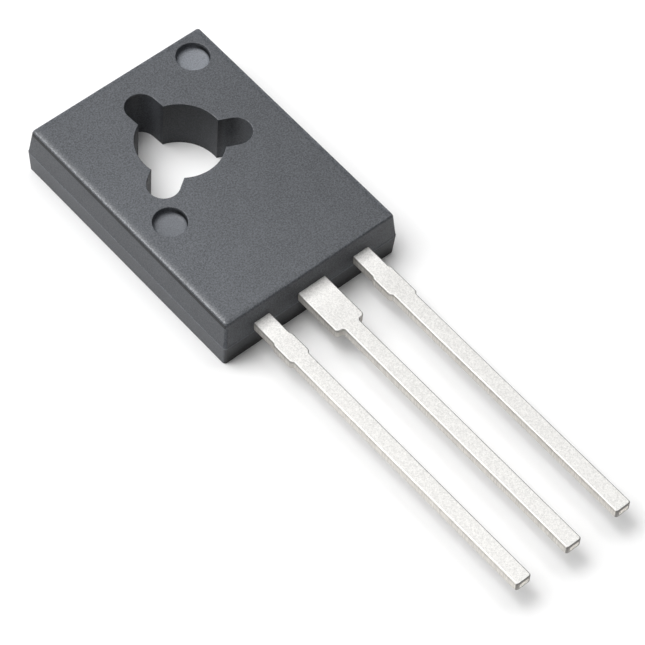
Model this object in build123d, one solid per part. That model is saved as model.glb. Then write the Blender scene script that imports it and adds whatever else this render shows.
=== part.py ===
"""Thyristor in a flat plastic power package: moulded case, stamped leads, heat-sink plate, die and bond wires.

Millimetres. The origin is the axis of the screw hole, in the mounting plane at the back of the case.
+Z points out of the front of the case, +Y to its far end, and the leads leave it towards -Y.
Seen from the front with the leads down: cathode left (-X), anode in the middle, gate right (+X).
"""

from build123d import *
import os
from math import radians, tan

# ---- Moulded case ----
case_length = 11.0
case_width = 7.85
case_thickness = 2.2
parting_height = 0.98  # the two mould halves meet here, at the underside of the leads
front_draft = 6.0  # degrees, from the parting plane up
back_draft = 3.0  # degrees, from the parting plane down
case_corner_radius = 0.15
front_edge_radius = 0.13  # the back edge is sharp, where the moulding met the flat mould floor

# ---- Screw hole: a round hole for an M3 screw that opens into three round-ended lobes ----
hole_diameter = 3.25
hole_to_far_end = 3.75
lobe_count = 3
lobe_width = 1.2
lobe_centre_radius = 2.02
first_lobe_angle = 94.0  # degrees from +X

# ---- Ejector-pin marks in the front face, measured from the outline at the parting plane ----
mark_diameter = 1.25
mark_depth = 0.32
far_mark_from_side = 1.16
far_mark_from_end = 1.09
near_mark_from_side = 1.41
near_mark_from_end = 4.72

# ---- Leads ----
lead_pitch = 2.25
lead_thickness = 0.40
lead_reach = 13.4  # from the end of the case to the tips
tail_width = 0.66
lead_edge_radius = 0.07
rounding_seat = 0.3  # how far the rounded edges of a lead run into the case
root_width = 0.72  # of an outer lead, where it leaves the case
root_length = 1.0
shoulder_width = 0.84  # left by the trimmed dam bar
shoulder_length = 1.05
gate_outer_shoulder_length = 1.5  # the dam bar is trimmed less close on this side
foot_width = 1.25  # of the anode lead, where it leaves the case
foot_length = 2.05
foot_corner_radius = 0.16

# ---- Heat-sink plate ----
plate_width = 6.2
plate_thickness = 0.80
plate_to_far_end = 0.42
plate_to_lead_end = 2.85
plate_corner_radius = 0.4
ledge_width = 0.15  # step around the plate that locks it in the moulding
ledge_height = 0.30
hole_lining = 0.27  # plastic between the screw hole and the plate
joggle_root = 0.3  # how far the lead's strip runs into the plate
joggle_to_plate = 0.1
joggle_length = 0.9
joggle_bend_radius = 0.3

# ---- Bonding posts of the outer leads ----
post_gap = 0.3  # between the plate and the posts
post_length = 1.25
cathode_post_width = 1.75
cathode_post_shift = -0.1  # of the post's middle from the lead's, outwards
gate_post_width = 1.3
gate_post_shift = 0.125
post_corner_radius = 0.15
anchor_hole_diameter = 0.4
anchor_hole_to_post_end = 0.35

# ---- Die ----
die_size = 1.9
die_thickness = 0.24
bevel_width = 0.2
bevel_height = 0.07
solder_thickness = 0.05
solder_spread = 0.08  # beyond the die, all round
die_to_plate_edge = 0.15

# ---- Bond wires ----
cathode_wire_diameter = 0.30
cathode_loop_height = 1.72  # of the wire's middle, above the mounting plane
gate_wire_diameter = 0.15
gate_loop_height = 1.62
wire_rise_angle = 42.0
wire_bend_radius = 0.22
bond_length_share = 1.9  # pressed foot of a wire, in wire diameters
bond_width_share = 1.4
bond_height_share = 0.5
cathode_contact_shift = 0.2  # from the middle of the die
gate_contact_inset = 0.3  # from the edges of the mesa
post_bond_inset = 0.42  # from the end of a post to the middle of its bond

# ---- Derived places ----
far_end = hole_to_far_end
lead_end = hole_to_far_end - case_length
case_middle = (far_end + lead_end) / 2
front_inset = (case_thickness - parting_height) * tan(radians(front_draft))
back_inset = parting_height * tan(radians(back_draft))
lead_top = parting_height + lead_thickness
tip_end = lead_end - lead_reach
plate_far = far_end - plate_to_far_end
plate_near = lead_end + plate_to_lead_end
seat_end = lead_end + rounding_seat
post_far = plate_near - post_gap
post_near = post_far - post_length
mesa_size = die_size - 2 * bevel_width
die_bottom = plate_thickness + solder_thickness
die_top = die_bottom + die_thickness
die_middle = plate_near + die_to_plate_edge + die_size / 2


def block(outline, bottom, top):
    """Straight prism over a flat outline, between two heights."""
    return extrude(Pos(0, 0, bottom) * outline, top - bottom)


def strip(middle, width, start, end):
    """Rectangle along Y between two stations, for a stretch of a lead."""
    return Pos(middle, (start + end) / 2) * Rectangle(width, abs(start - end))


# ---- Moulded case ----
def case_outline(inset):
    """Outline of the case, shrunk by the draft at some height."""
    width = case_width - 2 * inset
    length = case_length - 2 * inset
    return Pos(0, case_middle) * RectangleRounded(width, length, case_corner_radius)


def case_half(end_height, end_inset):
    """What one mould half forms: from the parting plane to the front or the back, with its draft."""
    parting_outline = Pos(0, 0, parting_height) * case_outline(0)
    end_outline = Pos(0, 0, end_height) * case_outline(end_inset)
    return loft([parting_outline, end_outline])


def case_shell():
    """The whole outer form, with its front edges rounded."""
    shell = case_half(case_thickness, front_inset) + case_half(0, back_inset)
    return fillet(shell.faces().sort_by(Axis.Z)[-1].edges(), front_edge_radius)


def hole_outline(wall):
    """The screw hole with its lobes, grown outwards by a wall: zero for the hole itself."""
    outline = Circle(hole_diameter / 2 + wall)
    width = lobe_width + 2 * wall
    for index in range(lobe_count):
        turn = Rot(0, 0, first_lobe_angle + index * 360 / lobe_count)
        outline += turn * Pos(lobe_centre_radius / 2, 0) * Rectangle(lobe_centre_radius, width)
        outline += turn * Pos(lobe_centre_radius, 0) * Circle(width / 2)
    return outline


def ejector_marks():
    """Two shallow round marks: one in a far corner, one beside the screw hole on the other side."""
    far_mark = Pos(case_width / 2 - far_mark_from_side, far_end - far_mark_from_end)
    near_mark = Pos(near_mark_from_side - case_width / 2, lead_end + near_mark_from_end)
    floor = case_thickness - mark_depth
    return [block(spot * Circle(mark_diameter / 2), floor, case_thickness) for spot in (far_mark, near_mark)]


def moulded_case(inserts):
    """The moulding: its outer form less the hole, the marks and everything that it was moulded around."""
    case = case_shell() - block(hole_outline(0), 0, case_thickness)
    for cut in ejector_marks() + inserts:
        case -= cut
    return case


# ---- Stampings ----
def rounded_stretch(outline):
    """The stretch of a lead outside the case, with rolled edges everywhere but at its end inside the case."""
    stretch = block(outline, parting_height, lead_top)
    level = stretch.edges().filter_by(lambda edge: edge.bounding_box().size.Z < lead_thickness / 2)
    return fillet(level.filter_by(lambda edge: edge.center().Y < seat_end - lead_edge_radius), lead_edge_radius)


def outer_lead(side, post_middle, post_width, outer_shoulder):
    """Cathode (side -1) or gate (side +1) lead: post with its anchor hole, root, shoulders and tail."""
    middle = side * lead_pitch
    inside = Pos(post_middle, (post_far + post_near) / 2) * RectangleRounded(
        post_width, post_length, post_corner_radius
    )
    inside += strip(middle, root_width, post_near + post_corner_radius, seat_end)
    inside -= Pos(middle, post_near + anchor_hole_to_post_end) * Circle(anchor_hole_diameter / 2)
    root_end = lead_end - root_length
    half = shoulder_width / 2
    outside = strip(middle, root_width, seat_end, root_end)
    outside += strip(middle + side * half / 2, half, root_end, root_end - outer_shoulder)
    outside += strip(middle - side * half / 2, half, root_end, root_end - shoulder_length)
    outside += strip(middle, tail_width, root_end, tip_end)
    return block(inside, parting_height, lead_top) + rounded_stretch(outside)


def plate_outline(inset):
    """Heat-sink plate with its opening around the screw hole."""
    middle = (plate_far + plate_near) / 2
    width = plate_width - 2 * inset
    length = plate_far - plate_near - 2 * inset
    plate = Pos(0, middle) * RectangleRounded(width, length, plate_corner_radius)
    return plate - hole_outline(hole_lining)


def bent_foot():
    """Inner stretch of the centre lead, bent up from the plate to the height of the leads."""
    inner_height = plate_thickness - lead_thickness / 2
    outer_height = parting_height + lead_thickness / 2
    bend_start = plate_near - joggle_to_plate
    bent_line = FilletPolyline(
        (plate_near + joggle_root, inner_height),
        (bend_start, inner_height),
        (bend_start - joggle_length, outer_height),
        (seat_end, outer_height),
        radius=joggle_bend_radius,
    )
    return extrude(Plane.YZ * trace(bent_line, lead_thickness), foot_width / 2, both=True)


def anode_tail():
    """Outer stretch of the centre lead: its foot narrows to the tail in a rounded step."""
    foot_end = lead_end - foot_length
    foot = strip(0, foot_width, seat_end, foot_end)
    foot = fillet(foot.vertices().group_by(Axis.Y)[0], foot_corner_radius)
    return rounded_stretch(foot + strip(0, tail_width, foot_end + foot_corner_radius, tip_end))


def anode_heatsink():
    """Centre lead and heat-sink plate in one: the plate's bare face is smaller, so the case grips its ledge."""
    plate = block(plate_outline(ledge_width), 0, ledge_height)
    plate += block(plate_outline(0), ledge_height, plate_thickness)
    return plate + bent_foot() + anode_tail()


# ---- Die and its bonds ----
def square_frustum(bottom_size, bottom, top_size, top):
    """Square layer on the die's place, with sloping sides."""
    spot = Pos(0, die_middle)
    ends = [(bottom_size, bottom), (top_size, top)]
    return loft([Pos(0, 0, height) * spot * Rectangle(size, size) for size, height in ends])


def die_solder():
    """Solder between the plate and the die, with its fillet all round."""
    return square_frustum(die_size + 2 * solder_spread, plate_thickness, die_size, die_bottom)


def thyristor_die():
    """Silicon die: straight sides, then the bevel of its mesa."""
    shoulder = die_top - bevel_height
    sides = block(Pos(0, die_middle) * Rectangle(die_size, die_size), die_bottom, shoulder)
    return sides + square_frustum(die_size, shoulder, mesa_size, die_top)


def glass_passivation(die):
    """Glass over the bevel, level with the top of the mesa."""
    square = Pos(0, die_middle) * Rectangle(die_size, die_size)
    return block(square, die_top - bevel_height, die_top) - die


def bond_wire(start, end, end_height, diameter, loop_height):
    """Wedge-bonded wire from the top of the die to a post: a pressed foot at each end, and a loop between."""
    run = Vector(end[0] - start[0], end[1] - start[1], 0)
    plane = Plane(origin=(start[0], start[1], 0), x_dir=run, z_dir=run.cross(Vector(0, 0, 1)))
    slope = tan(radians(wire_rise_angle))
    feet = [(0, die_top), (run.length, end_height)]
    rise, fall = [(loop_height - surface) / slope for _, surface in feet]
    path = plane * FilletPolyline(
        (0, die_top),
        (rise, loop_height),
        (run.length - fall, loop_height),
        (run.length, end_height),
        radius=wire_bend_radius,
    )
    wire = sweep(Plane(origin=path @ 0, z_dir=path % 0) * Circle(diameter / 2), path)
    pressed = SlotOverall(bond_length_share * diameter, bond_width_share * diameter)
    for station, surface in feet:
        level = Plane(origin=plane.from_local_coords((station, surface, 0)), x_dir=run, z_dir=(0, 0, 1))
        wire -= extrude(level * Circle(diameter * 2), -diameter * 2)
        wire += extrude(level * pressed, bond_height_share * diameter)
    return wire


def build_parts():
    """Every piece by its name."""
    cathode_post_middle = -lead_pitch - cathode_post_shift
    gate_post_middle = lead_pitch + gate_post_shift
    cathode_lead = outer_lead(-1, cathode_post_middle, cathode_post_width, shoulder_length)
    gate_lead = outer_lead(1, gate_post_middle, gate_post_width, gate_outer_shoulder_length)
    die = thyristor_die()
    bond_station = post_far - post_bond_inset
    cathode_wire = bond_wire(
        (-cathode_contact_shift, die_middle + cathode_contact_shift),
        (cathode_post_middle, bond_station),
        lead_top,
        cathode_wire_diameter,
        cathode_loop_height,
    )
    gate_wire = bond_wire(
        (mesa_size / 2 - gate_contact_inset, die_middle - mesa_size / 2 + gate_contact_inset),
        (gate_post_middle, bond_station),
        lead_top,
        gate_wire_diameter,
        gate_loop_height,
    )
    parts = {
        "cathode_lead": cathode_lead,
        "anode_heatsink": anode_heatsink(),
        "gate_lead": gate_lead,
        "die_solder": die_solder(),
        "thyristor_die": die,
        "glass_passivation": glass_passivation(die),
        "cathode_bond_wire": cathode_wire,
        "gate_bond_wire": gate_wire,
    }
    parts["moulded_case"] = moulded_case(list(parts.values()))
    return parts


os.makedirs("parts", exist_ok=True)
for name, part in build_parts().items():
    export_step(part, f"parts/{name}.step")
    print(f"{name}: {part.volume:.3f} mm3")
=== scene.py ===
# %% [markdown]
# # Thyristor in a flat plastic power package
#
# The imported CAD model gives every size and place. This script models the pieces that show once
# more in Blender, with the small forms of a moulding and of cut sheet metal, and gives each piece
# its finish. Loading the frame first means that each piece can be checked against its CAD node.

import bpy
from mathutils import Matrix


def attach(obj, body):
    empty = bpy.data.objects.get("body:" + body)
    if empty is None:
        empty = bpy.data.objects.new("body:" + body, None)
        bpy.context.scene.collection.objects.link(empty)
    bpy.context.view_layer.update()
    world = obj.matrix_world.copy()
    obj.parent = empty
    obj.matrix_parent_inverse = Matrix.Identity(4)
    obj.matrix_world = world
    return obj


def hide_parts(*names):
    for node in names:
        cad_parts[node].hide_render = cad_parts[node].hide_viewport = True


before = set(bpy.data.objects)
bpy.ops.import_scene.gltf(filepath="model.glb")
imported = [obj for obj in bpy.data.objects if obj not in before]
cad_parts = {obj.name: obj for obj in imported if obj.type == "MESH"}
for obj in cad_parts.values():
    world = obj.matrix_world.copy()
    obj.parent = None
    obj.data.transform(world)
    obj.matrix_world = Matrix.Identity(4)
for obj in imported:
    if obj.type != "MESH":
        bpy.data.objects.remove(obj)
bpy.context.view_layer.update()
print("CAD pieces:", ", ".join(sorted(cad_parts)))

# %% [markdown]
# ## Units and picking
#
# Blender works in metres here and the drawing is in millimetres, so one name turns one into the
# other. Most Blender operators work on what is selected. Picking a piece clears the selection
# first, because the imported CAD pieces arrive selected.

# %% Units and picking
from math import atan2, cos, hypot, pi, radians, sin, tan

import bmesh
import bpy
from mathutils import Quaternion, Vector

mm = 0.001


def pick(piece):
    """Select this piece alone and make it the active one."""
    bpy.ops.object.select_all(action="DESELECT")
    piece.select_set(True)
    bpy.context.view_layer.objects.active = piece


def named(name):
    """Name the piece that an operator has just added, and put its place and size in its mesh."""
    piece = bpy.context.object
    piece.name = name
    piece.data.name = name
    bpy.ops.object.transform_apply(location=True, rotation=True, scale=True)
    return piece


def add_box(name, low, high):
    """A box between two corners."""
    bpy.ops.object.select_all(action="DESELECT")
    centre = [(a + b) / 2 * mm for a, b in zip(low, high)]
    size = [b - a for a, b in zip(low, high)]
    bpy.ops.mesh.primitive_cube_add(size=mm, location=centre, scale=size)
    return named(name)


def add_rod(name, radius, bottom, top, sides, spot=(0, 0)):
    """An upright cylinder between two heights."""
    bpy.ops.object.select_all(action="DESELECT")
    bpy.ops.mesh.primitive_cylinder_add(
        vertices=sides, radius=radius * mm, depth=(top - bottom) * mm,
        location=(spot[0] * mm, spot[1] * mm, (bottom + top) / 2 * mm),
    )
    return named(name)


print("One millimetre is", mm, "Blender units")

# %% [markdown]
# ## Selecting by place
#
# Modelling by hand, one clicks a face or an edge. A script says which one it means instead: by
# where its middle is, or which way it faces. These helpers work in edit mode. The first ones
# change only the selection, and the last ones are the steps that act on what is selected.

# %% Selecting by place
tolerance = 0.01


def edit(piece, kind="FACE"):
    """Edit mode with nothing selected."""
    pick(piece)
    bpy.ops.object.mode_set(mode="EDIT")
    bpy.ops.mesh.select_mode(type=kind)
    bpy.ops.mesh.select_all(action="DESELECT")


def leave():
    """Back to object mode."""
    bpy.ops.object.mode_set(mode="OBJECT")


def middle(part):
    """Middle of a face or an edge, in millimetres."""
    return sum((v.co for v in part.verts), Vector()) / len(part.verts) / mm


def is_at(value, place):
    """Whether a coordinate in millimetres is at a place, give or take rounding."""
    return abs(value - place) < tolerance


def choose(kind, test):
    """Select the faces, edges or corners that pass a test. Returns how many there are."""
    bpy.ops.mesh.select_all(action="DESELECT")
    mesh = bmesh.from_edit_mesh(bpy.context.object.data)
    mesh.normal_update()
    found = [part for part in getattr(mesh, kind) if test(part)]
    for part in found:
        part.select_set(True)
    bmesh.update_edit_mesh(bpy.context.object.data)
    return len(found)


def runs_along(edge, axis):
    """Whether an edge is parallel to an axis."""
    run = edge.verts[1].co - edge.verts[0].co
    return abs(run[axis]) > 0.999 * run.length


def slice_at(axis, place):
    """Cut the whole mesh with a plane, so that faces on either side can be moved apart."""
    bpy.ops.mesh.select_all(action="SELECT")
    point, normal = [0, 0, 0], [0, 0, 0]
    point[axis], normal[axis] = place * mm, 1
    bpy.ops.mesh.bisect(plane_co=point, plane_no=normal)


def join_flat_faces():
    """Dissolve the cuts that run across flat faces."""
    bpy.ops.mesh.select_all(action="SELECT")
    bpy.ops.mesh.dissolve_limited(angle_limit=radians(1))


def push(x=0, y=0, z=0):
    """Extrude what is selected, by a distance in millimetres."""
    bpy.ops.mesh.extrude_region_move(TRANSFORM_OT_translate={"value": (x * mm, y * mm, z * mm)})


def round_off(radius, steps, test):
    """Bevel the edges that pass a test."""
    count = choose("edges", test)
    if count:
        bpy.ops.mesh.bevel(
            offset=radius * mm, segments=steps, profile=0.5, affect="EDGES", clamp_overlap=False)
    return count


print("Places count as the same within", tolerance, "mm")

# %% [markdown]
# ## Cutting and joining
#
# A boolean modifier cuts one piece with another, or joins them, and applying it makes the result
# real mesh. The exact solver copes with faces that lie in the same plane, which happens wherever
# metal is flush with plastic.

# %% Cutting and joining
def combine(piece, tool, operation):
    """Cut a piece with a tool, or join them. The tool is used up."""
    pick(piece)
    modifier = piece.modifiers.new(operation.lower(), "BOOLEAN")
    modifier.operation = operation
    modifier.solver = "EXACT"
    modifier.object = tool
    bpy.ops.object.modifier_apply(modifier=modifier.name)
    bpy.data.objects.remove(tool)


def twin(piece, name):
    """A copy of a piece that can be changed on its own."""
    copy = piece.copy()
    copy.data = piece.data.copy()
    copy.name = name
    bpy.context.scene.collection.objects.link(copy)
    copy.parent = None
    return copy


def weld(piece):
    """Join corners that lie on each other, and turn all faces outwards."""
    edit(piece)
    bpy.ops.mesh.select_all(action="SELECT")
    bpy.ops.mesh.remove_doubles(threshold=0.0004 * mm)
    bpy.ops.mesh.normals_make_consistent(inside=False)
    leave()
    return piece


def smooth(piece):
    """Smooth shading over gentle bends only, with large flat faces kept flat."""
    pick(piece)
    bpy.ops.object.shade_smooth_by_angle(angle=radians(30))
    modifier = piece.modifiers.new("flat faces lead", "WEIGHTED_NORMAL")
    modifier.keep_sharp = True
    bpy.ops.object.modifier_apply(modifier=modifier.name)


def report(piece):
    """Print the size of a piece, and whether its mesh is closed."""
    mesh = bmesh.new()
    mesh.from_mesh(piece.data)
    loose = sum(not edge.is_manifold for edge in mesh.edges)
    volume = mesh.calc_volume() / mm**3
    mesh.free()
    low, high = [[round(v / mm, 3) for v in piece.bound_box[corner]] for corner in (0, 6)]
    print(piece.name, low, high, f"{volume:.3f} mm3,",
          len(piece.data.polygons), "faces,", loose, "open edges")


print("Boolean and shading helpers are ready")

# %% [markdown]
# ## The outer leads
#
# The cathode and gate leads are punched from copper sheet in one strip with the middle one. A lead
# is a long bar with a wider root, a pair of shoulders where the strip's cross bar was cut away,
# and a wide post inside the plastic that the bond wire lands on. It starts as one bar. The bar is
# cut across, and the side faces of some stretches are extruded, as the punch leaves more metal
# there. The outer shoulder of the gate lead is longer, because its cross bar was cut less close.

# %% The outer leads
lead_bottom, lead_top = 0.98, 1.38
lead_pitch = 2.25
tail_half, root_half, shoulder_half = 0.33, 0.36, 0.42
case_near, root_end, shoulder_end, gate_shoulder_end, tip_end = -7.25, -8.25, -9.30, -9.75, -20.65
post_near, post_far = -5.95, -4.70
cathode_post_sides, gate_post_sides = (-3.025, -1.275), (1.725, 3.025)


def side_face(side, low, high):
    """Test for the side faces of a lead between two stations along it."""
    return lambda face: face.normal.x * side > 0.9 and low < middle(face).y < high


def add_outer_lead(name, side, post_sides, outer_shoulder_end):
    """Cathode (side -1) or gate (side 1) stamping."""
    line = side * lead_pitch
    lead = add_box(name, (line - tail_half, tip_end, lead_bottom),
                   (line + tail_half, post_far, lead_top))
    edit(lead)
    for station in sorted({outer_shoulder_end, shoulder_end, root_end, post_near}):
        slice_at(1, station)
    for way, post_side in zip((-1, 1), post_sides):
        end = outer_shoulder_end if way == side else shoulder_end
        choose("faces", side_face(way, end, post_far))
        push(x=way * (root_half - tail_half))
        choose("faces", side_face(way, end, root_end))
        push(x=way * (shoulder_half - root_half))
        choose("faces", side_face(way, post_near, post_far))
        push(x=post_side - (line + way * root_half))
    join_flat_faces()
    leave()
    return lead


cathode = add_outer_lead("cathode_stamping", -1, cathode_post_sides, shoulder_end)
gate = add_outer_lead("gate_stamping", 1, gate_post_sides, gate_shoulder_end)
report(cathode)
report(gate)

# %% [markdown]
# ## Corners, anchor holes and rolled edges
#
# The punch can't cut a perfectly sharp corner, so the steps of the shoulders are short slopes and
# the tips have small round corners. Corners seen from above are bevelled first and the edges along
# the sheet after, which is the order in which punching and rolling make them. The hole in the post
# is cut last: resin fills it and holds the lead.

# %% Corners, anchor holes and rolled edges
post_corner, step_corner, tip_corner, edge_radius = 0.15, 0.035, 0.11, 0.05
step_slopes = ((root_end, -0.10), (shoulder_end, 0.09), (gate_shoulder_end, 0.09))
anchor_radius, anchor_inset = 0.2, 0.35


def level_edge(edge):
    """Test for edges between a flat face and an upright one."""
    if len(edge.link_faces) != 2:
        return False
    tilts = sorted(abs(face.normal.z) for face in edge.link_faces)
    return tilts[0] < 0.3 and tilts[1] > 0.9


def corner_edge(near, far):
    """Test for the upright edges of corners between two stations."""
    return lambda edge: (
        runs_along(edge, 2) and near - tolerance < middle(edge).y < far + tolerance
        and len(edge.link_faces) == 2 and edge.calc_face_angle(0) > 0.3)


def shoulder_edge(line, station):
    """Test for the upright edges of a lead's shoulders at one station."""
    return lambda edge: (
        runs_along(edge, 2) and is_at(middle(edge).y, station)
        and is_at(abs(middle(edge).x - line), shoulder_half))


for lead, line in ((cathode, -lead_pitch), (gate, lead_pitch)):
    edit(lead, "EDGE")
    for station, slide in step_slopes:
        if choose("edges", shoulder_edge(line, station)):
            bpy.ops.transform.translate(value=(0, slide * mm, 0))
    round_off(post_corner, 4, corner_edge(post_far, post_far))
    round_off(step_corner, 3, corner_edge(gate_shoulder_end, root_end))
    round_off(tip_corner, 5, corner_edge(tip_end, tip_end))
    round_off(edge_radius, 4, level_edge)
    leave()
    hole = add_rod("anchor hole", anchor_radius, 0.8, 1.6, 32, (line, post_near + anchor_inset))
    combine(lead, hole, "DIFFERENCE")
    report(lead)

# %% [markdown]
# ## The middle lead
#
# The middle lead and the heat-sink plate are one piece of metal of two thicknesses. The lead is a
# wide foot that narrows to the tail. It starts as a box for the foot, and the middle of its outer
# end is extruded to the tip. Its inner end stops where the first bend begins.

# %% The middle lead
foot_half, foot_outer_corner, foot_inner_corner = 0.625, 0.16, 0.10
bend_radius = 0.3
plate_line, lead_line = 0.60, 1.18
bend_in, bend_out = -4.5, -5.4
bend_angle = atan2(lead_line - plate_line, bend_in - bend_out)
bend_tangent = bend_radius * tan(bend_angle / 2)


def foot_edge(across, station):
    """Test for the upright edges at one distance from the middle and one station."""
    return lambda edge: (
        runs_along(edge, 2) and is_at(abs(middle(edge).x), across)
        and is_at(middle(edge).y, station))


anode = add_box("anode_stamping", (-foot_half, shoulder_end, lead_bottom),
                (foot_half, bend_out - bend_tangent, lead_top))
edit(anode)
for side in (-1, 1):
    slice_at(0, side * tail_half)
choose("faces", lambda face: face.normal.y < -0.9 and abs(middle(face).x) < tail_half)
push(y=tip_end - shoulder_end)
join_flat_faces()
bpy.ops.mesh.select_mode(type="EDGE")
round_off(foot_outer_corner, 6, foot_edge(foot_half, shoulder_end))
round_off(foot_inner_corner, 5, foot_edge(tail_half, shoulder_end))
round_off(tip_corner, 5, foot_edge(tail_half, tip_end))
leave()
report(anode)

# %% [markdown]
# ## The two bends
#
# Inside the plastic the lead steps down to the plate in two bends. The spin operator turns its end
# face as a press brake would: a spin, a straight stretch and a spin the other way. The inner end
# then runs on into the plate.

# %% The two bends
run_into_plate = 0.4
slope_length = hypot(bend_in - bend_out, lead_line - plate_line) - 2 * bend_tangent


def inner_end(face):
    """Test for the end face nearest to the plate."""
    return (middle(face).y > bend_out - 0.2 and face.normal.y > 0.5
            and abs(face.normal.x) < 0.1 and face.calc_area() > 0.01 * mm**2)


def bend(angle, station, height):
    """Turn the end face round a line across the lead."""
    bpy.ops.mesh.spin(steps=6, angle=angle, axis=(1, 0, 0), center=(0, station * mm, height * mm))


edit(anode)
choose("faces", inner_end)
bend(bend_angle, bend_out - bend_tangent, lead_line - bend_radius)
push(y=slope_length * cos(bend_angle), z=-slope_length * sin(bend_angle))
bend(-bend_angle, bend_in + bend_tangent, plate_line + bend_radius)
push(y=run_into_plate - bend_tangent)
leave()
report(anode)

# %% [markdown]
# ## The heat-sink plate
#
# The plate is a thick block with round corners. Round its bare face runs a ledge that the plastic
# holds on to: the bottom face is inset, and what is left inside goes on down to the mounting
# plane. The screw passes through a larger opening of the same shape as the hole in the plastic,
# so the metal never touches it.

# %% The heat-sink plate
plate_half, plate_near, plate_far, plate_top, plate_corner = 3.1, -4.4, 3.33, 0.80, 0.4
ledge_width, ledge_height = 0.15, 0.30
hole_radius, lobe_radius, lobe_reach = 1.625, 0.6, 2.02
lobe_angles = (94, 214, 334)
hole_lining = 0.27
rolled_into_case = 0.25


def add_lobed_rod(name, wall, bottom, top):
    """The screw hole as a solid: a cylinder with three round-ended lobes, grown by a wall."""
    rod = add_rod(name, hole_radius + wall, bottom, top, 128)
    for angle in lobe_angles:
        lobe = add_rod("lobe", lobe_radius + wall, bottom, top, 64, (lobe_reach, 0))
        edit(lobe, "VERT")
        choose("verts", lambda corner: corner.co.x < (lobe_reach - tolerance) * mm)
        bpy.ops.transform.resize(value=(0, 1, 1), center_override=(0, 0, 0))
        leave()
        lobe.rotation_euler.z = radians(angle)
        combine(rod, lobe, "UNION")
    return rod


plate = add_box("plate", (-plate_half, plate_near, ledge_height),
                (plate_half, plate_far, plate_top))
edit(plate, "EDGE")
round_off(plate_corner, 8, lambda edge: runs_along(edge, 2))
bpy.ops.mesh.select_mode(type="FACE")
choose("faces", lambda face: face.normal.z < -0.9)
bpy.ops.mesh.inset(thickness=ledge_width * mm)
push(z=-ledge_height)
leave()
combine(plate, add_lobed_rod("opening", hole_lining, -1, 2), "DIFFERENCE")
report(plate)
combine(anode, plate, "UNION")
edit(anode, "EDGE")
round_off(edge_radius, 4,
          lambda edge: level_edge(edge) and middle(edge).y < case_near + rolled_into_case)
leave()
report(anode)

# %% [markdown]
# ## The moulded case
#
# Two halves of a mould meet at the underside of the leads, and each half leaves its own slope, so
# that the moulding comes out. The case starts as the lower half. Its bottom face is shrunk for the
# slope. The upper half is extruded from the lower one after a very small inset, because two mould
# halves never meet exactly, and this leaves the fine ledge that shows as the parting line. Resin
# shrinks as it cures, and the front sinks a little towards its edges. Eight thin rings, each one
# higher and smaller than the one before it, give that crown, and a bevel rounds the outer edge.

# %% The case
case_half, case_far, case_top, parting = 3.925, 3.75, 2.2, lead_bottom
case_middle = (case_near + case_far) / 2
front_inset = (case_top - parting) * tan(radians(6))
back_inset = parting * tan(radians(3))
mismatch, crown_rise, crown_width, crown_steps = 0.012, 0.06, 0.29, 8
case_corner, top_bevel, bottom_bevel = 0.12, 0.09, 0.02
crown_foot = case_top - crown_rise


def shrink(inset, before=0):
    """Scale what is selected in plan, so that its sides move in by an inset."""
    across, along = case_half - before, case_far - case_middle - before
    bpy.ops.transform.resize(value=(1 - inset / across, 1 - inset / along, 1),
                             center_override=(0, case_middle * mm, 0))


case = add_box("epoxy_case", (-case_half, case_near, 0), (case_half, case_far, parting))
edit(case, "EDGE")
round_off(case_corner, 6, lambda edge: runs_along(edge, 2))
bpy.ops.mesh.select_mode(type="FACE")
choose("faces", lambda face: face.normal.z < -0.9)
shrink(back_inset)
choose("faces", lambda face: face.normal.z > 0.9)
bpy.ops.mesh.inset(thickness=mismatch * mm)
push(z=crown_foot - parting)
shrink(front_inset - mismatch, mismatch)
for step in range(crown_steps):
    low, high = step / crown_steps, (step + 1) / crown_steps
    push(z=crown_rise * ((1 - low) ** 2 - (1 - high) ** 2))
    shrink(crown_width / crown_steps, front_inset + crown_width * low)
bpy.ops.mesh.select_mode(type="EDGE")
round_off(top_bevel, 6,
          lambda edge: edge.calc_face_angle(0) > 0.6 and is_at(middle(edge).z, crown_foot))
round_off(bottom_bevel, 2, lambda edge: level_edge(edge) and is_at(middle(edge).z, 0))
leave()
report(case)

# %% [markdown]
# ## The hole and the marks
#
# The screw hole and the two round marks of the ejector pins are cut next. Each cutter has the form
# of the mould's own pin. The pins that pushed the part out of the mould have worn rims, so the
# marks have a round edge at their floor.

# %% The hole and the marks
mark_radius, mark_depth, mark_floor_radius = 0.625, 0.32, 0.16
mark_spots = ((2.765, 2.66), (-2.515, -2.53))
combine(case, add_lobed_rod("screw hole", 0, -1, 3), "DIFFERENCE")
for spot in mark_spots:
    pin = add_rod("ejector pin", mark_radius, case_top - mark_depth, 3, 64, spot)
    edit(pin, "EDGE")
    round_off(mark_floor_radius, 6, lambda edge: level_edge(edge) and middle(edge).z < case_top)
    leave()
    combine(case, pin, "DIFFERENCE")
report(case)

# %% [markdown]
# ## Fine rims
#
# A mould pin meets the flat mould wall with a slightly rounded joint, so the rims get a fine
# bevel. Each rim edge has the flat front on one side and a wall on the other, which is how it is
# found.

# %% Fine rims
rim_bevel = 0.03
edit(case, "EDGE")
rims = round_off(rim_bevel, 3,
                 lambda edge: level_edge(edge) and middle(edge).z > case_top - 0.1 * tolerance)
leave()
print(rims, "rim edges")
report(case)

# %% [markdown]
# ## Room for the inserts
#
# The plastic was cast round the metal, so the metal pieces cut their own room. The CAD pieces that
# stay as they are, the die and its bonds, are made of loose triangles; a welded copy of each one
# cuts its room.

# %% Room for the inserts
inner_nodes = ["die_solder", "thyristor_die", "glass_passivation",
               "cathode_bond_wire", "gate_bond_wire"]
for piece in (cathode, gate, anode):
    combine(case, twin(piece, "core"), "DIFFERENCE")
for node in inner_nodes:
    combine(case, weld(twin(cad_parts[node], "core")), "DIFFERENCE")
report(case)

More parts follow.
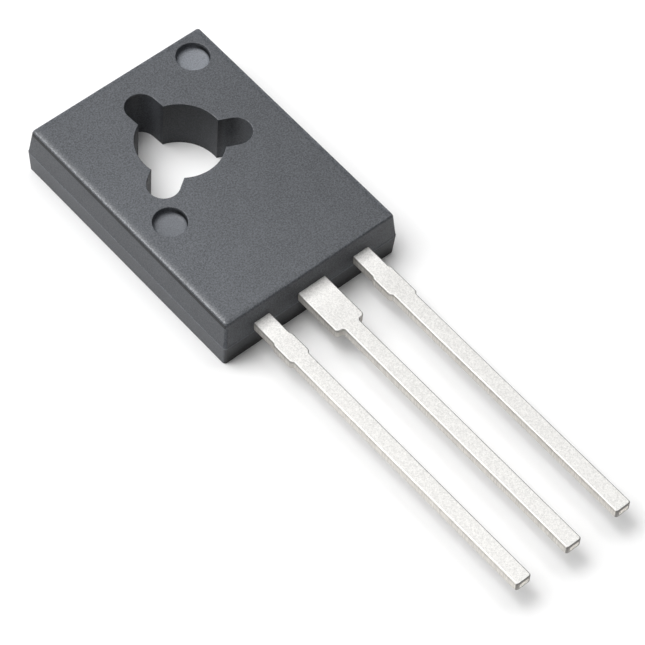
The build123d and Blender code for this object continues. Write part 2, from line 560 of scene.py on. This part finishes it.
# %% [markdown]
# ## Shading and places in the frame
#
# Round edges are smooth shaded and flat faces stay flat. Each piece rides on the one body of this
# row and stands for its CAD node, which is hidden.

# %% Shading and places in the frame
stands_for = {
    case: ("moulded_case", "filled_epoxy"),
    anode: ("anode_heatsink", "tinned_copper"),
    cathode: ("cathode_lead", "tinned_copper"),
    gate: ("gate_lead", "tinned_copper"),
}
for piece, (node, finish) in stands_for.items():
    smooth(piece)
    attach(piece, "root")
    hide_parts(node)
    print(piece.name, "stands for", node)

# %% [markdown]
# ## Shader formulas
#
# A finish is a graph of nodes. Written node by node a mask is hard to read, so a small class lets
# it be written as a formula: arithmetic between values adds Math nodes. Two more words are enough
# for most masks. One rises smoothly from 0 to 1, and the other is 1 between two limits.

# %% Shader formulas
class Value:
    """The output of a node. Arithmetic on it adds Math nodes."""

    def __init__(self, graph, socket):
        self.graph, self.socket = graph, socket

    def math(self, operation, first, second=0.0):
        return self.graph.node("ShaderNodeMath", {"operation": operation}, {0: first, 1: second})

    def __add__(self, other):
        return self.math("ADD", self, other)

    def __sub__(self, other):
        return self.math("SUBTRACT", self, other)

    def __rsub__(self, other):
        return self.math("SUBTRACT", other, self)

    def __mul__(self, other):
        return self.math("MULTIPLY", self, other)

    def __neg__(self):
        return 0 - self

    def __abs__(self):
        return self.math("ABSOLUTE", self)

    __radd__, __rmul__ = __add__, __mul__

    def rise(self, low, high):
        """0 below low and 1 above high, with a smooth step between."""
        return self.graph.node(
            "ShaderNodeMapRange", {"interpolation_type": "SMOOTHSTEP"},
            {"Value": self, "From Min": low, "From Max": high})

    def within(self, low, high, soft):
        """1 between two values, with soft borders."""
        return self.rise(low - soft, low + soft) * (1 - self.rise(high - soft, high + soft))


print("Formulas can add, subtract, multiply and rise")

# %% [markdown]
# ## Material graphs
#
# A second class holds one material and adds its nodes. Object coordinates are the place on the
# piece itself, so a pattern stays on the piece wherever it goes. The way a face points comes from
# the same node, and tells a top from a side.

# %% Material graphs
class Graph:
    """A new material and the nodes of its finish."""

    def __init__(self, name):
        self.material = bpy.data.materials.new(name)
        self.material.use_nodes = True
        self.tree = self.material.node_tree
        self.shader = self.tree.nodes["Principled BSDF"]
        coordinates = self.node("ShaderNodeTexCoord", {}, {}, None)
        self.place = Value(self, coordinates.outputs["Object"])
        self.x, self.y, self.z = [axis * 1000 for axis in self.parts(self.place)]
        self.turn = self.parts(Value(self, coordinates.outputs["Normal"]))

    def node(self, kind, settings, sockets, output=0):
        """Add any node. Returns one of its outputs, or the node itself if output is None."""
        node = self.tree.nodes.new(kind)
        for name, value in settings.items():
            setattr(node, name, value)
        for name, value in sockets.items():
            self.feed(node.inputs[name], value)
        return node if output is None else Value(self, node.outputs[output])

    def feed(self, socket, value):
        """Link a value to a socket, or set a plain number or colour on it."""
        if isinstance(value, Value):
            self.tree.links.new(value.socket, socket)
        elif isinstance(value, tuple) and len(socket.default_value) == 4:
            socket.default_value = (*value, 1)
        else:
            socket.default_value = value

    def parts(self, vector):
        """The three components of a vector."""
        node = self.node("ShaderNodeSeparateXYZ", {}, {0: vector}, None)
        return [Value(self, output) for output in node.outputs]

    def noise(self, size, detail=2.0, stretch=(1, 1, 1)):
        """Noise from 0 to 1 with lumps of a size in millimetres, stretched along the axes."""
        where = self.node("ShaderNodeVectorMath", {"operation": "DIVIDE"},
                          {0: self.place, 1: stretch})
        return self.node("ShaderNodeTexNoise", {},
                         {"Vector": where, "Scale": 1 / (size * mm), "Detail": detail})

    def mix(self, mask, first, second, blend="MIX"):
        """From one colour to another as the mask goes from 0 to 1."""
        return self.node("ShaderNodeMix", {"data_type": "RGBA", "blend_type": blend},
                         {0: mask, 6: first, 7: second}, 2)

    def shade(self, colour, factor):
        """A colour made darker or lighter by a factor."""
        return self.mix(1.0, colour, factor, "MULTIPLY")

    def finish(self, bump=None, depth=0.0, **sockets):
        """Connect the finish to the shader, with a bump whose depth is in millimetres."""
        for name, value in sockets.items():
            self.feed(self.shader.inputs[name.replace("_", " ")], value)
        if bump:
            self.feed(self.shader.inputs["Normal"], self.node(
                "ShaderNodeBump", {}, {"Strength": 1.0, "Distance": depth * mm, "Height": bump}))
        print("Finish", self.material.name, "with", len(self.tree.nodes), "nodes")
        return self.material


def dress(material, *pieces):
    """Give pieces one finish."""
    for piece in pieces:
        piece.data.materials.clear()
        piece.data.materials.append(material)


print("Material graphs are ready")

# %% [markdown]
# ## Filled epoxy
#
# The moulding compound is epoxy with fused silica powder, coloured with carbon. It is matt, and a
# close look shows fine light and dark specks. Noise of two sizes gives the specks and a third,
# large one a slight clouding. The walls that slide along a mould pin come out duller, and the
# round wall of the hole is painted darker, as painted shade. The floors of the marks under the
# ejector pins are smoother, with a painted sheen that makes them paler, more on the far mark. A
# painted shade line runs under the front edge, a painted highlight lies on the parting ledge, and
# the rounded rim of the front has a painted highlight. The flat front has painted light, strongest
# at its left corner by the leads, with a little painted shade at its right corner there. The wall
# that the leads leave has painted light near its top and painted shade that darkens downwards. Each
# of these is a mask, and each mask makes the base colour lighter or darker by its own share.

# %% Filled epoxy
def epoxy_finish():
    g = Graph("filled_epoxy")
    turn_y, turn_z = g.turn[1:]

    # Grain
    speck = g.noise(0.063, 2.0).rise(0.35, 0.65)
    fine = g.noise(0.042, 1.0).rise(0.39, 0.61)
    cloud = g.noise(1.1, 3.0)

    # Walls: inside the hole, and outside
    upright = 1 - abs(turn_z).rise(0.4, 0.7)
    from_hole = g.node("ShaderNodeVectorMath", {"operation": "LENGTH"}, {0: g.place}, 1) * 1000
    in_hole = (1 - from_hole.rise(3.3, 3.4)) * upright
    in_lobe = (g.x * g.x + g.y * g.y).rise((hole_radius + 0.055) ** 2, (hole_radius + 0.225) ** 2)
    outside = 1 - in_hole
    lead_wall = (-turn_y).rise(0.3, 0.9) * upright * outside
    below_leads = lead_wall * (1 - g.z.rise(parting - 0.08, parting - 0.05))
    # Painted light that grows towards the top of the lead wall, and painted shade below the leads
    # that darkens downwards
    lead_wall_painted_shade = lead_wall * g.z.rise(parting + 0.02, case_top - 0.10) * 0.19
    lead_wall_painted_shade = lead_wall_painted_shade - below_leads * (0.85 - g.z.rise(0.1, 0.9) * 0.35)

    # Lines: painted shade under the front edge, and a painted highlight on the ledge where the
    # mould halves meet
    painted_edge_shade = g.z.within(case_top - 0.25, case_top - 0.11, 0.02) * (1 - turn_z.rise(0.6, 0.8))
    parting_painted_highlight = g.z.within(parting - 0.05, parting + 0.02, 0.01) * outside

    # The front: its rim with a painted highlight, its flat part with painted light and shade,
    # and the floors of the two marks with a painted sheen
    at_front = g.z.rise(case_top - 0.12, case_top - 0.08)
    # The rim is painted lighter as a highlight, less on the side of the leads
    rim = at_front * turn_z.rise(0.5, 0.7) * (1 - turn_z.rise(0.945, 1.0))
    rim = rim * (1 - (-turn_y).rise(0.02, 0.10) * 0.8)
    flat_front = at_front * turn_z.rise(0.97, 1.0)
    flat_half = case_half - 0.025
    towards_gate_lead, to_leads = g.x.rise(-flat_half, flat_half), 1 - g.y.rise(-1.0, 3.2)
    # Painted light on the flat front, strongest at its left corner by the leads, and a little
    # painted shade at its right corner there
    painted_sheen = 0.10 - towards_gate_lead * 0.06 + to_leads * (0.12 - towards_gate_lead * 0.24)
    mark_floor = g.z.within(case_top - 0.34, case_top - 0.16, 0.02) * turn_z.rise(0.20, 0.95)
    far_mark = g.y.rise(-0.5, 0.5)

    grain = (speck - 0.5) * 0.37 + (fine - 0.5) * 0.34
    tone = 1 + grain * (1 - mark_floor * 0.5) + (cloud - 0.5) * 0.20
    for share in (
        # painted shade under the edge
        painted_edge_shade * outside * (1 - lead_wall) * -0.88,
        # painted highlight on the parting ledge
        parting_painted_highlight * (1 - lead_wall * 0.3) * 0.65,
        # painted light and shade on the lead wall
        lead_wall_painted_shade,
        # painted shade on the round wall of the hole
        in_hole * (1 - in_lobe) * -0.40,
        # painted sheen on the floors of the marks, more on the far one
        mark_floor * (0.65 + far_mark * 0.75),
        # painted highlight on the rim
        rim * (0.20 + speck * 0.50),
        # painted light and shade on the flat front
        flat_front * painted_sheen,
    ):
        tone = tone * (1 + share)
    charcoal = (0.0790, 0.0840, 0.0930)
    return g.finish(
        speck * 0.5 + fine * 0.5, 0.0025, Base_Color=g.shade(charcoal, tone),
        Roughness=0.46 + in_hole * 0.10 - mark_floor * 0.06 + (speck - 0.5) * 0.10,
        Specular_IOR_Level=0.3, Coat_Weight=rim * (0.6 + speck * 0.4), Coat_Roughness=0.30)


dress(epoxy_finish(), case)

# %% [markdown]
# ## Tinned copper
#
# The strip is dipped in tin, which freezes to a pale skin with a fine crystal grain. The punched
# sides show upright shear marks and are greyer and warmer, because tin holds less well there. They
# have painted light that makes them lighter away from the case, more painted light on the sides of
# the gate lead near the case, where shadow falls, and a painted shade line under the rolled edge.
# The skin has painted light near the case, and a mottled patch next to the case that is a painted
# reflection of the dark case. The long rolled edges have painted shade. The tips are cut last,
# after tinning, so the cut copper alloy itself shows, with a dark burr round it. Masks come from
# the way a face points and from its place along the lead.

# %% Tinned copper
def tinned_finish():
    g = Graph("tinned_copper")
    turn_x, turn_y, turn_z = g.turn

    # Grain of the skin, and shear marks of the sides
    crystal = g.noise(0.075, 2.0).rise(0.34, 0.66)
    fine = g.noise(0.042, 1.0).rise(0.38, 0.62)
    streaks = g.noise(0.06, 2.0, (1, 1, 9)).rise(0.25, 0.75)
    flat = abs(turn_z).rise(0.45, 0.85)
    upper = turn_z.rise(0.05, 0.3)

    # The cut tip, with a burr round the outline of its face
    across = g.x.math("PINGPONG", g.x, 0.5 * lead_pitch).rise(0.10, 0.30) * 0.20
    up = abs(g.z - 0.5 * (lead_bottom + lead_top))
    at_tip = 1 - g.y.rise(tip_end + 0.05, tip_end + 0.11)
    cut = (-turn_y).rise(0.80, 0.97) * at_tip
    outline = (across * across + up * up).rise(0.095**2, 0.125**2)
    burr = (-turn_y).rise(0.20, 0.40) * at_tip * (1 - cut * (1 - outline))

    # The long edges, and the stretch near the case, by how far out from the case it is
    out = case_near - g.y
    root = 1 - out.rise(1.25, 4.25)
    # Painted shade on the long rolled edges: on the left ones near the case, and all along the
    # right ones
    far_edge = turn_x.rise(0.35, 0.60) * upper
    near_edge = (-turn_x).rise(0.25, 0.50) * upper * (1 - turn_z.rise(0.90, 0.97)) * root
    # A mottled darker patch by the case, a painted reflection of the dark case
    case_painted_reflection = out.within(-0.05, 0.35, 0.06) * g.noise(0.16, 3.0).rise(0.35, 0.6)
    under_edge = 1 - g.z.rise(lead_bottom + 0.03, lead_bottom + 0.08)
    # A painted shade line at the top of the sides, under the rolled edge
    shade_under_rolled_edge = g.z.within(lead_top - 0.10, lead_top - 0.05, 0.01)
    # Painted light on the sides of the gate lead near the case, where shadow falls
    gate_side_painted_light = g.x.rise(1.2, 1.8) * (root + out.rise(0.75, 1.25) - 1)

    skin_tone = 0.84 + crystal * 0.18 + fine * 0.18
    # Painted light on the skin near the case, against the shade there
    skin_tone = skin_tone - case_painted_reflection * 0.12 + (1 - out.rise(0.15, 1.55)) * 0.22
    # Painted light makes the sides lighter away from the case
    side_tone = (0.82 + streaks * 0.30) * (1.42 - root * 0.42)
    side_tone = side_tone * (1 - under_edge * 0.30 - shade_under_rolled_edge * 0.25) * (1 + gate_side_painted_light * 0.45)
    skin = g.shade((0.578, 0.571, 0.556), skin_tone)
    side = g.shade((0.520, 0.500, 0.468), side_tone)
    bare = g.shade((0.900, 0.850, 0.795), 0.78 + fine * 0.42)
    metal = g.mix(cut, g.mix(flat, side, skin), bare)
    # Painted shade on the rolled edges; the burr round the tip is dark
    metal = g.shade(metal, 1 - burr * 0.62 - far_edge * 0.88 - near_edge * 0.45)
    return g.finish(
        g.mix(flat, streaks, crystal), 0.0010, Base_Color=metal,
        Roughness=0.50 - flat * 0.12 + (crystal - 0.5) * 0.12,
        Metallic=0.1 + out.rise(0.05, 1.55) * 0.4)


dress(tinned_finish(), anode, cathode, gate)

# %% [markdown]
# ## The pieces inside
#
# The solder, the die, its glass and the two bond wires keep their CAD meshes, because they are
# already drawn to the last form that such pieces have. They are inside the plastic, so each one
# gets a plain finish with the grain of its own material.

# %% Finishes of the inner pieces
def inner_finish(name, low, high, size, stretch, depth, roughness, metallic):
    """A grain between two colours, with lumps of a size and a bump of a depth."""
    g = Graph(name)
    grain = g.noise(size, 3.0, stretch).rise(0.2, 0.8)
    return g.finish(grain, depth, Base_Color=g.mix(grain, low, high),
                    Roughness=roughness + (grain - 0.5) * 0.1, Metallic=metallic)


solder = inner_finish("soft_solder", (0.42, 0.43, 0.45), (0.56, 0.57, 0.58),
                      0.08, (1, 1, 1), 0.004, roughness=0.45, metallic=1.0)
silicon = inner_finish("silicon", (0.10, 0.11, 0.13), (0.15, 0.16, 0.18),
                       0.30, (1, 1, 1), 0.0005, roughness=0.22, metallic=0.8)
glass = inner_finish("passivation_glass", (0.20, 0.27, 0.25), (0.27, 0.34, 0.31),
                     0.20, (1, 1, 1), 0.002, roughness=0.18, metallic=0.0)
wire = inner_finish("aluminium_wire", (0.80, 0.81, 0.82), (0.90, 0.90, 0.91),
                    0.03, (6, 6, 1), 0.001, roughness=0.30, metallic=1.0)
for node, finish in zip(inner_nodes, (solder, silicon, glass, wire, wire)):
    dress(finish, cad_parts[node])

# %% [markdown]
# ## Camera
#
# Small parts are best shown from well above through a long lens, so that the leads stay almost
# parallel. The camera is set by the way it looks, as a heading round the part and a dip below the
# horizon, by the point it looks at and by its distance. A vector's tracking rotation turns it
# there, and a small roll tilts the picture.

# %% Camera
scene = bpy.context.scene
heading, dip, roll = radians(45.7664), radians(55.0793), radians(4.5717)
aim, distance = Vector((-0.0758, -7.9616, 0)) * mm, 129.796 * mm
gaze = Vector((cos(heading) * cos(dip), sin(heading) * cos(dip), -sin(dip)))
bpy.ops.object.camera_add(location=aim - gaze * distance)
camera = bpy.context.object
camera.name = "camera"
camera.rotation_euler = (gaze.to_track_quat("-Z", "Y") @ Quaternion((0, 0, 1), roll)).to_euler()
camera.data.lens = 208.2591
camera.data.sensor_width = 36
camera.data.clip_start = 0.01
scene.camera = camera
print("Camera at", [round(v / mm, 2) for v in camera.location])

# %% [markdown]
# ## Floor
#
# The part lies on its heat-sink plate on a pale sheet. A plane far wider than the view has no
# visible edge. The standard view transform keeps white white, as in a catalogue picture.

# %% Floor
bpy.ops.mesh.primitive_plane_add(size=3)
floor = bpy.context.object
floor.name = "floor"
paper = Graph("floor").finish(Base_Color=(0.9, 0.9, 0.9), Roughness=0.9, Specular_IOR_Level=0.1)
dress(paper, floor)
scene.view_settings.view_transform = "Standard"
print("Floor", floor.dimensions.x, "m wide")

# %% [markdown]
# ## Lamps
#
# The light is that of a tent for small products: wide soft lamps all round, and the strongest one
# high behind the part on its left. That lamp is where the rounded left edge of the case mirrors it,
# so the edge shines, and its soft shadow falls towards the leads. A lamp is given by its
# direction, its half angle as seen from the part, and its radiance, which is how bright its
# surface is. The power follows from these, so a lamp can be made softer without changing that.

# %% Lamps
world = bpy.data.worlds.new("studio")
scene.world = world
world.use_nodes = True
world.node_tree.nodes["Background"].inputs["Strength"].default_value = 0.02
lit = Vector((0, -7, 0)) * mm
lamp_distance = 0.35


def add_lamp(name, azimuth, elevation, half_angle, radiance):
    """A round soft lamp in a given direction from the part. Angles are in degrees."""
    azimuth, elevation = radians(azimuth), radians(elevation)
    way = Vector((cos(azimuth) * cos(elevation), sin(azimuth) * cos(elevation), sin(elevation)))
    size = 2 * lamp_distance * tan(radians(half_angle))
    bpy.ops.object.light_add(type="AREA", location=lit + way * lamp_distance)
    lamp = bpy.context.object
    lamp.name = name
    lamp.data.shape = "DISK"
    lamp.data.size = size
    lamp.data.energy = radiance * pi * pi * size**2 / 4
    lamp.rotation_euler = (-way).to_track_quat("-Z", "Y").to_euler()
    print("Lamp", name, round(lamp.data.energy, 4), "W")


add_lamp("key", 135, 60, 18, 4.6)
add_lamp("key high", 135, 75, 12, 2.3)
add_lamp("key low", 145, 35, 18, 1.6)
add_lamp("left", 180, 65, 18, 2.2)
add_lamp("far", 90, 65, 18, 2.8)
add_lamp("far right", 45, 60, 18, 1.1)
add_lamp("right", 0, 65, 18, 1.7)
